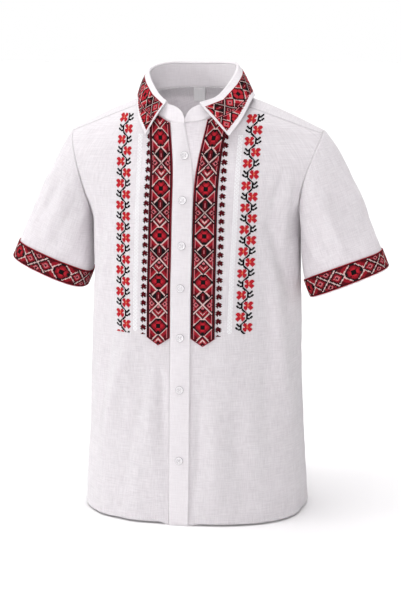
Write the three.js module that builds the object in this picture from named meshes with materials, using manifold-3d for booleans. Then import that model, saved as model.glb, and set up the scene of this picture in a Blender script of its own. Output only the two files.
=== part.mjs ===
// Folk shirt with short sleeves and a turn-down collar, filled out and open at neck, hem and cuffs.
// Millimetres, Z up, the front faces -Y. "Left" and "right" are as seen from the front.
// Every cloth piece is a thin wall: a grid of outer points, and the same grid moved inwards.
import * as THREE from "three";
import { mergeVertices } from "three/addons/utils/BufferGeometryUtils.js";
import Module from "manifold-3d";

// ---- driving dimensions ----
const CLOTH = 1.5; // wall of the shirt cloth
const APPLIED = 1.1; // wall of the bands sewn on top of the cloth
const SEAM = 0.3; // gap between two pieces that meet at a seam
const LIFT = 0.6; // gap between a panel and what is sewn on top of it
const VENT_HEIGHT = 28; // slit at the foot of each side seam
const VENT_OPENING = 9; // how far the front's corner stands back there
const SLEEVE_BAND_HEIGHT = 30;
const SLEEVE_BAND_FOOT = 2; // from the sleeve's edge up to its band
const SLEEVE_RING_POINTS = 30;
const SLEEVE_ROWS = 9;
const BUTTON_BAND_HALF = 16;
const BUTTON_BAND_SWING = { left: 10, right: 24 }; // at the neck
const BAND_WIDTH = 39; // embroidered front bands
const BAND_FOOT = 313; // height where their pointed ends begin
const BAND_POINT = 13; // drop of the point below that
const BAND_GAP = 1.2; // from the button band
const BAND_SWING = { // at the neck
  [-1]: { inner: 10, outer: 6 },
  [1]: { inner: 20, outer: 12 },
};
const BAND_NECK_LIFT = 1.4; // more lift on the tight curve next to the neckline
const SWING_START = 545; // heights between which the strips swing aside
const SWING_END = 700;
const NECKLINE_MARGIN = 2; // from a strip's head to the neckline
const BUTTON_RADIUS = 6.7;
const BUTTON_HEIGHTS = [607, 536, 463, 395, 314, 228, 110];
const BUTTON_LINE = 0; // they stay in one upright line, also where their band swings aside
const LABEL = { width: 20, height: 23, wall: 1, x: -6, y: 44.6, top: 711 };

const LEFT = -1;
const RIGHT = 1;
const UP = new THREE.Vector3(0, 0, 1);

const table = (columns, rows) =>
  rows.map((row) => Object.fromEntries(columns.map((name, i) => [name, row[i]])));

// Fronts: level sections from hem to shoulder, each from its inner end, near the centre, to its
// outer end, on the side seam (rows 0 to 8) or the armhole (rows 8 to 15). square and turn shape it.
const FRONT_COLUMNS = ["zIn", "yIn", "inLeft", "inRight", "zOut", "xOut", "yOut", "square", "turn"];
const FRONT = table(FRONT_COLUMNS, [
  [0, -150, 17, -14.5, 0, 190, 0, 2.5, 2.5],
  [28, -149.5, 17, -14.5, 28, 190, 0, 2.5, 2.5],
  [110, -145, 17, -14.5, 110, 186, 0, 2.5, 2.5],
  [190, -142, 17, -14.5, 190, 181, 0, 2.5, 2.5],
  [260, -138, 17, -14.5, 260, 178.5, 0, 2.5, 2.5],
  [330, -135, 17, -14.5, 330, 178, 0, 2.5, 2.4],
  [400, -132, 17, -14.5, 400, 177, 0, 2.4, 2.3],
  [455, -124, 17, -14.5, 452, 176.5, -2, 2.4, 2.2],
  [505, -120, 17, -14.5, 492, 176, -4, 2.4, 2.0],
  [552, -113, 17, -14.5, 525, 178, -46, 2.3, 1.5],
  [592, -103, 17, -14.5, 563, 187, -60, 2.1, 1.1],
  [630, -96, 19, -8, 600, 200, -50, 1.7, 1],
  [660, -91, 23, -1, 624, 208, -33, 1.4, 1],
  [666, -86, 36, 24, 629, 210, -27, 1.3, 1],
  [680, -69, 61, 55, 634, 211, -22, 1.4, 1],
  [692, -36, 75, 72, 640, 212, -17, 1.6, 1],
]);
const UNDERARM = 8;
const NECKLINE_START = 12;
const FRONT_TOP = 15;

// Back: the same, from the centre back to the side seam, the armhole and the yoke seam.
const BACK = table(["zIn", "yIn", "zOut", "xOut", "yOut", "square", "turn"], [
  [0, 129, 0, 191, 0, 2.5, 2.5],
  [28, 128, 28, 190, 0, 2.5, 2.5],
  [110, 124, 110, 186, 0, 2.5, 2.5],
  [190, 120, 190, 181, 0, 2.5, 2.5],
  [260, 118, 260, 178.5, 0, 2.5, 2.5],
  [330, 119, 330, 178, 0, 2.5, 2.4],
  [400, 125, 400, 177, 0, 2.4, 2.3],
  [455, 130, 452, 176.5, -2, 2.4, 2.2],
  [505, 131, 492, 176, -4, 2.4, 2.0],
  [552, 127, 527, 180, 40, 2.3, 1.5],
  [592, 118, 565, 190, 52, 2.2, 1.1],
  [622, 108, 598, 201, 49, 2.2, 1],
  [642, 99, 622, 207, 42, 2.2, 1],
]);
const BACK_TOP = 12;

// Collar, from its left front end round the back to its right front end: the neck seam, the
// height of the stand above it, and how far the stand's top leans in.
const COLLAR = table(["x", "y", "z", "stand", "lean"], [
  [-2, -94.5, 658.5, 26, 4],
  [-23, -91, 660, 26, 5],
  [-36, -86, 666, 23, 6],
  [-61, -69, 679, 25, 10],
  [-75.5, -36, 692.5, 30, 5],
  [-79, -8, 703, 36, 0],
  [-58, 34, 711, 38.5, 1],
  [-3, 49, 713.5, 36, 6],
  [52, 34, 711, 39, 2],
  [75, -8, 703, 40, 6],
  [71.5, -36, 691, 30, 10],
  [55, -69, 675, 23, 11],
  [24, -87, 662.5, 25, 8],
  [-1, -91, 660, 25, 6],
]);
const STAND_END_RADIUS = 22; // the stand's rounded front corners
const LEAF_START = 2; // rows of COLLAR where the leaf begins and ends
const LEAF_END = 12;
const NECK_CORNER = 4; // rows of COLLAR where the front's shoulder seam meets the neck
const NECK_CORNER_RIGHT = 10;
const NECK_MIDDLE = -10;

// The leaf's lower edge, one row for each row of COLLAR from LEAF_START to LEAF_END.
const LEAF_EDGE = table(["x", "y", "z"], [
  [-66, -97, 641],
  [-80, -83, 665],
  [-92, -48, 691],
  [-99, -4, 698],
  [-72, 48, 701],
  [-3, 70, 703],
  [66, 50, 702],
  [97, -2, 702],
  [99, -38, 697],
  [90, -81, 667],
  [72, -97, 640],
]);

// Yoke: how its sections leave the front edge (topX, topY, topZ) and reach the back seam, and where
// they end on that seam, from the armhole (row 0) past the neck corner (row 2) to the centre back.
const YOKE = table(["topX", "topY", "topZ", "lowX", "lowY", "lowZ", "reach"], [
  [0.2, 1, 0.45, -0.2, 0.8, -1, 0],
  [0.05, 1, 0.8, 0, 0.4, -1, 0.13],
  [0.15, 1, 0.6, 0, 0.35, -1, 0.24],
  [0.35, 1, -0.2, 0, 0.3, -1, 0.29],
  [0.3, 1, -0.7, 0, 0.25, -1, 0.37],
  [0, 1, -0.8, 0, 0.2, -1, 0.5],
]);

// Sleeves: centre, half width, half depth and tilt of each hem opening, and the rise of the
// sleeve's outer side over the straight line from shoulder to hem.
const SLEEVE = {
  [LEFT]: { x: 261, z: 397, width: 67.5, depth: 55, tilt: 23, cap: 5 },
  [RIGHT]: { x: 260, z: 393.5, width: 68.5, depth: 55, tilt: 22.5, cap: 9 },
};
const SLEEVE_SQUARENESS = 0.78; // of its rings; 1 is an ellipse
const SLEEVE_FULLNESS = 6; // swell of its front and back over the straight line to the hem
const SLEEVE_UNDERSIDE = 8; // the same on the side next to the body
const ARMHOLE_GAP = 1.2; // from the sleeve's wall to the edges it meets round the armhole
const UNDERARM_GAP = 1.8; // more of it at the underarm

// Soft folds of the fronts and back: a ridge (height > 0) or trough, x at its foot and at its head.
const FOLD_COLUMNS = ["xFoot", "xHead", "zFoot", "zHead", "width", "height"];
const FRONT_FOLDS = table(FOLD_COLUMNS, [
  [-36, -30, -60, 300, 13, -3],
  [-78, -70, -80, 280, 17, 3],
  [-112, -122, -60, 330, 15, -3],
  [-140, -168, 150, 520, 12, -3.5],
  [-150, -186, 300, 600, 12, 3],
  [38, 34, -60, 330, 13, -3],
  [72, 70, -70, 260, 15, 3],
  [104, 112, -80, 380, 15, -4],
  [138, 160, 60, 500, 13, 3],
  [156, 186, 250, 590, 12, -4],
]);
const BACK_FOLDS = table(FOLD_COLUMNS, [
  [-120, -128, -60, 380, 17, -3.5],
  [-62, -54, -80, 330, 18, 3.5],
  [8, 2, -60, 300, 16, -3],
  [70, 58, -70, 360, 18, 3.5],
  [124, 132, -60, 400, 16, -3.5],
  [-140, -168, 300, 590, 15, -4],
  [142, 170, 280, 600, 15, -4],
]);

// Folds of a sleeve: angle round it (0 at its outer side, 90 at its front), and how far down.
const SLEEVE_FOLDS = table(["angle", "start", "end", "width", "height"], [
  [62, 0, 0.75, 14, -4],
  [92, 0.05, 1.05, 15, 3.5],
  [124, 0.1, 0.9, 14, -4],
  [30, 0.15, 0.95, 14, 2.5],
  [236, 0, 0.85, 15, -4],
  [268, 0.1, 1.05, 16, 3.5],
  [300, 0.15, 0.9, 15, -3],
]);

// ---- smooth values from the tables ----
function throughFour(a, b, c, d, f) {
  const slopeB = (c - a) / 2;
  const slopeC = (d - b) / 2;
  const rise = b - c;
  return b + f * (slopeB + f * (-3 * rise - 2 * slopeB - slopeC + f * (2 * rise + slopeB + slopeC)));
}

function rowAt(rows, at) {
  const last = rows.length - 1;
  const i = Math.max(0, Math.min(Math.floor(at), last - 1));
  const pick = (k) => rows[Math.max(0, Math.min(k, last))];
  const [a, b, c, d] = [pick(i - 1), pick(i), pick(i + 1), pick(i + 2)];
  const out = {};
  for (const key of Object.keys(b)) out[key] = throughFour(a[key], b[key], c[key], d[key], at - i);
  return out;
}

const smooth = (from, to, x) => THREE.MathUtils.smoothstep(x, from, to);
const bell = (x) => Math.exp(-x * x);

function steps(from, to, count) {
  return Array.from({ length: count + 1 }, (_, i) => from + ((to - from) * i) / count);
}

// ---- fronts and back ----
const SECTION_SAMPLES = 56;
const SEAM_SHARE = 0.75 * SEAM; // each panel's part of the gap, measured along Y, at a slanted seam

// A section's point at the share s of its width. inner is its inner end, in x, y and z.
function acrossSection(row, inner, s, side) {
  const depth = Math.pow(Math.max(0, 1 - Math.pow(Math.max(0, s), row.square)), 1 / row.turn);
  return new THREE.Vector3(
    side * (inner.x + (row.xOut - inner.x) * s),
    row.yOut + (inner.y - row.yOut) * depth,
    inner.z + (row.zOut - inner.z) * s,
  );
}

// Outwards and level, at a point where the section runs along the given direction.
function levelOut(point, along) {
  const out = new THREE.Vector3(along.y, -along.x, 0).normalize();
  return out.dot(new THREE.Vector3(point.x, point.y, 0)) < 0 ? out.negate() : out;
}

// The same section's point at the share f of its length, and the direction out of the cloth there.
function sectionPoint(row, inner, f, side) {
  const points = steps(0, Math.PI / 2, SECTION_SAMPLES).map((angle) =>
    acrossSection(row, inner, Math.sin(angle), side),
  );
  const lengths = [0];
  for (let i = 1; i < points.length; i++) lengths.push(lengths[i - 1] + points[i].distanceTo(points[i - 1]));
  const wanted = f * lengths[SECTION_SAMPLES];
  let i = 1;
  while (i < SECTION_SAMPLES && lengths[i] < wanted) i++;
  const share = (wanted - lengths[i - 1]) / (lengths[i] - lengths[i - 1]);
  const point = points[i - 1].clone().lerp(points[i], share);
  return { point, out: levelOut(point, points[i].clone().sub(points[i - 1])) };
}

function foldHeight(folds, x, z) {
  let height = 0;
  for (const fold of folds) {
    const rise = (z - fold.zFoot) / (fold.zHead - fold.zFoot);
    if (rise <= 0 || rise >= 1) continue;
    const centre = fold.xFoot + (fold.xHead - fold.xFoot) * rise;
    height += fold.height * bell((x - centre) / fold.width) * Math.sin(Math.PI * rise);
  }
  return height;
}

// Folds die out at the side seam and the armhole.
const awayFromSeam = (f) => 1 - smooth(0.75, 0.94, f);

// Where front and back meet below the underarm: a little forward at the top.
const sideSeam = (z) => -4 * smooth(400, 492, z);

const ventGap = (z, opening) => opening * Math.pow(Math.max(0, 1 - z / VENT_HEIGHT), 2);

// A front's section at the row position at in FRONT, and its inner end with x counted outwards.
function frontSection(side, at) {
  const row = rowAt(FRONT, at);
  const inner = new THREE.Vector3(side === LEFT ? row.inLeft : row.inRight, row.yIn, row.zIn);
  if (at > NECKLINE_START) {
    const step = at - NECKLINE_START;
    const neck = rowAt(COLLAR, side === LEFT ? 1 + step : COLLAR.length - 1 - step);
    inner.set(side * neck.x, neck.y, neck.z);
  }
  if (at <= UNDERARM) row.yOut = sideSeam(row.zOut);
  row.yOut -= ventGap(row.zOut, VENT_OPENING) + SEAM_SHARE;
  return { row, inner };
}

// Point of a front: f runs from the centre to the side seam or armhole.
function frontPoint(side, at, f) {
  const { row, inner } = frontSection(side, at);
  const { point, out } = sectionPoint(row, inner, f, side);
  return point.addScaledVector(out, foldHeight(FRONT_FOLDS, point.x, point.z) * awayFromSeam(f));
}

function backPoint(side, at, f) {
  const row = rowAt(BACK, at);
  if (at <= UNDERARM) row.yOut = sideSeam(row.zOut);
  row.yOut += ventGap(row.zOut, VENT_OPENING / 3) + SEAM_SHARE;
  const { point, out } = sectionPoint(row, new THREE.Vector3(0, row.yIn, row.zIn), f, side);
  return point.addScaledVector(out, foldHeight(BACK_FOLDS, point.x, point.z) * awayFromSeam(f));
}

// The place on the middle of a front at a given x and z, with its outward normal. The row that
// passes through it is found by halving.
function onFront(side, x, z) {
  const place = (at, shift) => {
    const { row, inner } = frontSection(side, at);
    const s = (side * x - inner.x) / (row.xOut - inner.x) + shift;
    return acrossSection(row, inner, s, side);
  };
  let low = 0;
  let high = FRONT_TOP;
  for (let i = 0; i < 24; i++) {
    const middle = (low + high) / 2;
    if (place(middle, 0).z < z) low = middle;
    else high = middle;
  }
  const step = 0.01;
  const point = place(low, 0);
  const across = place(low, step).sub(place(low, -step));
  const upwards = place(Math.min(low + step, FRONT_TOP), 0).sub(place(Math.max(low - step, 0), 0));
  const normal = across.cross(upwards).normalize();
  if (normal.y > 0) normal.negate();
  return { point: point.addScaledVector(normal, foldHeight(FRONT_FOLDS, x, z)), normal };
}

// ---- collar ----
function neckPoint(at) {
  const row = rowAt(COLLAR, at);
  return new THREE.Vector3(row.x, row.y, row.z);
}

// Outwards from the neck, level, at a row of COLLAR.
function neckOut(at) {
  const step = 0.02;
  const along = neckPoint(at + step).sub(neckPoint(at - step));
  return new THREE.Vector3(along.y, -along.x, 0).normalize().negate();
}

// Height of the stand: it rises from each front end in a quarter circle.
function standHeight(at) {
  const here = neckPoint(at);
  const ends = [neckPoint(0), neckPoint(COLLAR.length - 1)];
  const nearest = at < COLLAR.length / 2 ? here.distanceTo(ends[0]) : here.distanceTo(ends[1]);
  const share = Math.min(1, (nearest + 0.4) / STAND_END_RADIUS);
  return rowAt(COLLAR, at).stand * Math.sqrt(1 - (1 - share) * (1 - share));
}

// Foot of the stand's wall, 2 * SEAM over the neck seam, and up to its top at h = 1.
function standPoint(at, h) {
  const row = rowAt(COLLAR, at);
  const height = standHeight(at);
  const lean = row.lean * Math.min(1, height / row.stand);
  return neckPoint(at)
    .addScaledVector(neckOut(at), -lean * h)
    .addScaledVector(UP, 2 * SEAM + height * h);
}

// Section of the leaf at a row of COLLAR: up from the stand's top, over the fold, down to the edge.
const FOLD_SECTION = table(["out", "up"], [
  [-1.2, 0.9],
  [-1.2, 2.6],
  [0.4, 4.4],
  [2.6, 4.2],
  [4, 2],
]);
const LEAF_SHARES = [0.12, 0.35, 0.62, 0.85, 1];
const LEAF_BELLY = 3;
const LEAF_BELLY_HIGH = 0.35; // share of the way down where the belly is fullest

function leafSection(at) {
  const top = standPoint(at, 1);
  const out = neckOut(at);
  const points = FOLD_SECTION.map((row) =>
    top.clone().addScaledVector(out, row.out).addScaledVector(UP, row.up),
  );
  const shoulder = points[points.length - 1];
  const edgeRow = rowAt(LEAF_EDGE, at - LEAF_START);
  const edge = new THREE.Vector3(edgeRow.x, edgeRow.y, edgeRow.z);
  const bellyTurn = Math.log(0.5) / Math.log(LEAF_BELLY_HIGH);
  for (const share of LEAF_SHARES) {
    const belly = LEAF_BELLY * Math.sin(Math.PI * Math.pow(share, bellyTurn));
    points.push(shoulder.clone().lerp(edge, share).addScaledVector(out, belly));
  }
  return points;
}

// ---- yoke ----
const SHOULDER_SECTIONS = 7;
const YOKE_STEPS = 6;
const YOKE_HANDLE = 1 / 2.6; // length of its curve's handles, as a share of its chord

// Section of the yoke; at runs from 0 (left armhole) over the centre back to 2 * last (right).
function yokeSection(at) {
  const last = YOKE.length - 1;
  const side = at <= last ? LEFT : RIGHT;
  const half = at <= last ? at : 2 * last - at;
  const row = rowAt(YOKE, half);
  let top;
  if (half < 2) {
    top = frontPoint(side, FRONT_TOP, 1 - half / 2).add(new THREE.Vector3(0, SEAM, 3 * SEAM));
  } else {
    const past = Math.max(half - 2, 0.04);
    top = neckPoint(side === LEFT ? NECK_CORNER + past : NECK_CORNER_RIGHT - past);
  }
  const low = backPoint(side, BACK_TOP, 1 - 2 * row.reach).addScaledVector(UP, 3 * SEAM);
  const leave = new THREE.Vector3(side * row.topX, row.topY, row.topZ).normalize();
  const arrive = new THREE.Vector3(side * row.lowX, row.lowY, row.lowZ).normalize();
  const reach = top.distanceTo(low) * YOKE_HANDLE;
  const curve = new THREE.CubicBezierCurve3(
    top,
    top.clone().addScaledVector(leave, reach),
    low.clone().addScaledVector(arrive, -reach),
    low,
  );
  return steps(0, 1, YOKE_STEPS).map((t) => curve.getPoint(t));
}

// ---- sleeves ----
// The armhole's outer edge, from the underarm up the front, over the yoke's end and down the back.
function armhole(side) {
  const yokeEnd = yokeSection(side === LEFT ? 0 : 2 * (YOKE.length - 1));
  const points = [
    ...steps(UNDERARM, FRONT_TOP - 1, 6).map((at) => frontPoint(side, at, 1)),
    ...yokeEnd.filter((_, i) => i % 2 === 0),
    ...steps(BACK_TOP - 1, UNDERARM + 1, 2).map((at) => backPoint(side, at, 1)),
  ];
  const curve = new THREE.CatmullRomCurve3(points, true, "centripetal");
  curve.arcLengthDivisions = 400;
  return steps(0, 1, SLEEVE_RING_POINTS).slice(0, -1).map((u) => curve.getPointAt(u));
}

const squarer = (value) => Math.sign(value) * Math.pow(Math.abs(value), SLEEVE_SQUARENESS);

function sleeveHem(side) {
  const hem = SLEEVE[side];
  const tilt = THREE.MathUtils.degToRad(hem.tilt);
  const outer = new THREE.Vector3(side * Math.cos(tilt), 0, Math.sin(tilt));
  return steps(0, 1, SLEEVE_RING_POINTS).slice(0, -1).map((u) => {
    const angle = Math.PI - 2 * Math.PI * u;
    return new THREE.Vector3(side * hem.x, 0, hem.z)
      .addScaledVector(outer, hem.width * squarer(Math.cos(angle)))
      .add(new THREE.Vector3(0, -hem.depth * squarer(Math.sin(angle)), 0));
  });
}

function sleeveFold(angle, t) {
  let height = 0;
  for (const fold of SLEEVE_FOLDS) {
    const down = (t - fold.start) / (fold.end - fold.start);
    if (down <= 0 || down >= 1) continue;
    height += fold.height * bell((angle - fold.angle) / fold.width) * Math.sin(Math.PI * down);
  }
  return height;
}

// Rings of a sleeve at the shares t of the way from the armhole to the hem.
function sleeveRings(side, shares) {
  const top = armhole(side);
  const hem = sleeveHem(side);
  const hemCentre = new THREE.Vector3(side * SLEEVE[side].x, 0, SLEEVE[side].z);
  return shares.map((t) =>
    top.map((start, i) => {
      const angle = Math.PI - (2 * Math.PI * i) / SLEEVE_RING_POINTS;
      const out = hem[i].clone().sub(hemCentre).normalize();
      const swell = Math.sin(Math.PI * Math.pow(t, 0.6));
      const outside = Math.max(0, Math.cos(angle));
      const beneath = Math.max(0, -Math.cos(angle));
      const cap = SLEEVE[side].cap * outside * swell;
      const underside = SLEEVE_UNDERSIDE * beneath * Math.sin(Math.PI * Math.pow(t, 1.5));
      const fullness = SLEEVE_FULLNESS * Math.pow(Math.sin(angle), 2) * swell;
      const clear = ARMHOLE_GAP + UNDERARM_GAP * beneath;
      const degrees = (THREE.MathUtils.radToDeg(angle) + 360) % 360;
      return start
        .clone()
        .add(new THREE.Vector3(side * clear * (1 - t), 0, 0))
        .lerp(hem[i], t)
        .addScaledVector(out, cap + underside + fullness + sleeveFold(degrees, t));
    }),
  );
}

// ---- walls ----
// Normals of a grid of points, pointing away from the point inside.
function gridNormals(grid, wrap, inside) {
  const rows = grid.length;
  const cols = grid[0].length;
  const pick = (i, j) => grid[THREE.MathUtils.clamp(i, 0, rows - 1)][
    wrap ? (j + cols) % cols : THREE.MathUtils.clamp(j, 0, cols - 1)
  ];
  let facing = 0;
  const normals = grid.map((line, i) =>
    line.map((point, j) => {
      const across = pick(i, j + 1).clone().sub(pick(i, j - 1));
      const up = pick(i + 1, j).clone().sub(pick(i - 1, j));
      const normal = across.cross(up).normalize();
      facing += normal.dot(point.clone().sub(inside));
      return normal;
    }),
  );
  if (facing < 0) normals.forEach((line) => line.forEach((normal) => normal.negate()));
  return normals;
}

// A closed wall from a grid of outer points. flatFoot keeps the first row's rim level.
function wall(grid, thickness, { wrap = false, inside, flatFoot = false, lift = 0 }) {
  const rows = grid.length;
  const cols = grid[0].length;
  const normals = gridNormals(grid, wrap, inside);
  const positions = [];
  for (const depth of [lift + (lift ? thickness : 0), lift ? lift : -thickness]) {
    grid.forEach((line, i) =>
      line.forEach((point, j) => {
        const moved = point.clone().addScaledVector(normals[i][j], depth);
        if (flatFoot && i === 0) moved.z = point.z;
        positions.push(moved.x, moved.y, moved.z);
      }),
    );
  }
  const index = [];
  const outer = (i, j) => i * cols + (j % cols);
  const inner = (i, j) => rows * cols + outer(i, j);
  const quad = (a, b, c, d) => index.push(a, b, c, a, c, d);
  const spans = wrap ? cols : cols - 1;
  for (let i = 0; i < rows - 1; i++) {
    for (let j = 0; j < spans; j++) {
      quad(outer(i, j), outer(i, j + 1), outer(i + 1, j + 1), outer(i + 1, j));
      quad(inner(i, j), inner(i + 1, j), inner(i + 1, j + 1), inner(i, j + 1));
    }
  }
  for (let j = 0; j < spans; j++) {
    quad(outer(0, j), inner(0, j), inner(0, j + 1), outer(0, j + 1));
    quad(outer(rows - 1, j), outer(rows - 1, j + 1), inner(rows - 1, j + 1), inner(rows - 1, j));
  }
  if (!wrap) {
    for (let i = 0; i < rows - 1; i++) {
      quad(outer(i, 0), outer(i + 1, 0), inner(i + 1, 0), inner(i, 0));
      quad(outer(i, cols - 1), inner(i, cols - 1), inner(i + 1, cols - 1), outer(i + 1, cols - 1));
    }
  }
  return facingOut(positions, index);
}

// A geometry whose faces point out, whichever way round its grid was laid.
function facingOut(positions, index) {
  const corner = (k) => new THREE.Vector3().fromArray(positions, 3 * index[k]);
  let volume = 0;
  for (let k = 0; k < index.length; k += 3) volume += corner(k).dot(corner(k + 1).cross(corner(k + 2)));
  if (volume < 0) {
    for (let k = 0; k < index.length; k += 3) [index[k + 1], index[k + 2]] = [index[k + 2], index[k + 1]];
  }
  const geometry = new THREE.BufferGeometry();
  geometry.setAttribute("position", new THREE.Float32BufferAttribute(positions, 3));
  geometry.setIndex(index);
  geometry.computeVertexNormals();
  return geometry;
}

// Points well inside the body, the neck and each sleeve.
const TORSO_INSIDE = new THREE.Vector3(0, 0, 330);
const NECK_INSIDE = new THREE.Vector3(-3, -22, 690);
const sleeveInside = (side) => new THREE.Vector3(side * 225, 0, 480);
const cuffInside = (side) => new THREE.Vector3(side * 250, 0, 420);

// ---- pieces ----
const FRONT_ROWS = [0, 0.5, ...steps(1, NECKLINE_START, 18), ...steps(NECKLINE_START + 0.5, FRONT_TOP, 5)];
const BACK_ROWS = [0, 0.5, ...steps(1, BACK_TOP, 19)];

function frontGeometry(side) {
  const grid = FRONT_ROWS.map((at) => steps(0, 1, 13).map((f) => frontPoint(side, at, f)));
  return wall(grid, CLOTH, { inside: TORSO_INSIDE, flatFoot: true });
}

function backGeometry() {
  const grid = BACK_ROWS.map((at) =>
    steps(-1, 1, 24).map((f) => backPoint(f < 0 ? LEFT : RIGHT, at, Math.abs(f))),
  );
  return wall(grid, CLOTH, { inside: TORSO_INSIDE, flatFoot: true });
}

function yokeGeometry() {
  const last = YOKE.length - 1;
  const half = [...steps(0, 2, SHOULDER_SECTIONS).slice(0, -1), ...steps(2, last, 6)];
  const stations = [...half, ...half.slice(0, -1).reverse().map((at) => 2 * last - at)];
  return wall(stations.map(yokeSection), CLOTH, { inside: TORSO_INSIDE });
}

function sleeveGeometry(side) {
  const rings = sleeveRings(side, steps(0, 1, SLEEVE_ROWS));
  return wall(rings, CLOTH, { wrap: true, inside: sleeveInside(side) });
}

// The sleeve's band: its height is measured down the inner (ring point 0) and outer lengths.
function sleeveBandGeometry(side) {
  const lengthAt = (i) => armhole(side)[i].distanceTo(sleeveHem(side)[i]);
  const innerLength = lengthAt(0);
  const outerLength = lengthAt(SLEEVE_RING_POINTS / 2);
  const rings = [1, 0.5, 0].map((share) => {
    const drop = SLEEVE_BAND_FOOT + SLEEVE_BAND_HEIGHT * share;
    const all = sleeveRings(side, [1 - drop / outerLength, 1 - drop / innerLength]);
    return all[0].map((point, i) => {
      const inner = 0.5 + 0.5 * Math.cos((2 * Math.PI * i) / SLEEVE_RING_POINTS);
      return point.clone().lerp(all[1][i], inner);
    });
  });
  return wall(rings, APPLIED, { wrap: true, inside: cuffInside(side), lift: LIFT });
}

// How far an edge of a strip swings aside towards the open neck, at a height.
const swing = (z, most) => most * Math.pow(smooth(SWING_START, SWING_END, z), 1.2);

// Height of the neckline above a place of the fronts, which part at NECK_MIDDLE.
function necklineHeight(x) {
  const last = COLLAR.length - 1;
  let best = Infinity;
  let height = 0;
  for (const at of x < NECK_MIDDLE ? steps(0, NECK_CORNER, 60) : steps(last, last - NECK_CORNER, 60)) {
    const point = neckPoint(at);
    if (Math.abs(point.x - x) < best) {
      best = Math.abs(point.x - x);
      height = point.z;
    }
  }
  return height;
}

// A strip on a front between two edges given as functions of the height, from foot(share) up to
// the neckline. Its rows stand closer together towards the neck.
function stripGeometry(side, leftEdge, rightEdge, foot, columns, rowCount, lift) {
  const grid = steps(0, 1, rowCount).map((u) =>
    steps(0, 1, columns).map((share) => {
      const up = 1 - Math.pow(1 - u, 1.4);
      const low = foot(share);
      let z = low;
      for (let i = 0; i < 3; i++) {
        const x = THREE.MathUtils.lerp(leftEdge(z), rightEdge(z), share);
        const head = necklineHeight(x) - NECKLINE_MARGIN;
        z = low + (head - low) * up;
      }
      const x = THREE.MathUtils.lerp(leftEdge(z), rightEdge(z), share);
      const { point, normal } = onFront(side, x, z);
      return point.addScaledVector(normal, lift * smooth(610, 650, z));
    }),
  );
  return wall(grid, APPLIED, { inside: TORSO_INSIDE, lift: LIFT, flatFoot: foot(0) === 0 });
}

function buttonBandGeometry() {
  const leftEdge = (z) => -BUTTON_BAND_HALF - swing(z, BUTTON_BAND_SWING.left);
  const rightEdge = (z) => BUTTON_BAND_HALF - swing(z, BUTTON_BAND_SWING.right);
  return stripGeometry(RIGHT, leftEdge, rightEdge, () => 0, 4, 24, 0);
}

function frontBandGeometry(side) {
  const near = BUTTON_BAND_HALF + BAND_GAP;
  const inner = (z) => side * (near + swing(z, BAND_SWING[side].inner));
  const outer = (z) => side * (near + BAND_WIDTH + swing(z, BAND_SWING[side].outer));
  const foot = (share) => BAND_FOOT - BAND_POINT * (1 - Math.abs(2 * share - 1));
  return stripGeometry(side, inner, outer, foot, 4, 20, BAND_NECK_LIFT);
}

function standGeometry() {
  const last = COLLAR.length - 1;
  const rounded = [0, 0.06, 0.15, 0.3, 0.55];
  const stations = [...rounded, ...steps(1, last - 1, 22), ...rounded.map((at) => last - at).reverse()];
  const grid = [0, 0.35, 0.7, 1].map((h) =>
    stations.map((at) => standPoint(at, h).addScaledVector(neckOut(at), CLOTH / 2)),
  );
  return wall(grid, CLOTH, { inside: NECK_INSIDE });
}

function leafGeometry() {
  const stations = steps(LEAF_START, LEAF_END, 30);
  return wall(stations.map(leafSection), CLOTH, { inside: NECK_INSIDE });
}

function labelGeometry() {
  const geometry = new THREE.BoxGeometry(LABEL.width, LABEL.wall, LABEL.height);
  return geometry.translate(LABEL.x, LABEL.y, LABEL.top - LABEL.height / 2);
}

// ---- buttons ----
const BUTTON_PROFILE = [
  [0, 0],
  [5.4, 0],
  [BUTTON_RADIUS, 0.9],
  [BUTTON_RADIUS, 1.6],
  [5.9, 2.3],
  [4.7, 2.1],
  [4, 1.5],
  [0, 1.5],
];
const HOLE_RADIUS = 0.85;
const HOLE_OFFSET = 1.55;

const wasm = await Module();
wasm.setup();

function toSolid(geometry) {
  const bare = new THREE.BufferGeometry();
  bare.setAttribute("position", geometry.getAttribute("position"));
  bare.setIndex(geometry.getIndex());
  const merged = mergeVertices(bare, 1e-3);
  return new wasm.Manifold(
    new wasm.Mesh({
      numProp: 3,
      vertProperties: merged.attributes.position.array,
      triVerts: new Uint32Array(merged.index.array),
    }),
  );
}

// A four-hole button, its back on z = 0.
function buttonGeometry() {
  const profile = BUTTON_PROFILE.map(([radius, height]) => new THREE.Vector2(radius, height));
  let solid = toSolid(new THREE.LatheGeometry(profile, 20).rotateX(Math.PI / 2));
  if (solid.volume() < 0) throw new Error("the button's profile runs the wrong way");
  for (const x of [-HOLE_OFFSET, HOLE_OFFSET]) {
    for (const y of [-HOLE_OFFSET, HOLE_OFFSET]) {
      const pin = new THREE.CylinderGeometry(HOLE_RADIUS, HOLE_RADIUS, 8, 6);
      pin.rotateX(Math.PI / 2).translate(x, y, 0);
      solid = solid.subtract(toSolid(pin));
    }
  }
  const mesh = solid.getMesh();
  const geometry = new THREE.BufferGeometry();
  geometry.setAttribute("position", new THREE.BufferAttribute(mesh.vertProperties, 3));
  geometry.setIndex(new THREE.BufferAttribute(mesh.triVerts, 1));
  geometry.computeVertexNormals();
  return geometry;
}

// ---- materials ----
const linen = new THREE.MeshStandardMaterial({ color: 0xe9e7ec, roughness: 0.9, side: THREE.DoubleSide });
const embroidered = new THREE.MeshStandardMaterial({ color: 0x7d1420, roughness: 0.8 });
const labelCloth = new THREE.MeshStandardMaterial({ color: 0xf6f5f7, roughness: 0.7 });
const pearl = new THREE.MeshStandardMaterial({ color: 0xf1eff2, roughness: 0.35 });

// ---- the shirt ----
const shirt = new THREE.Group();

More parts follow.
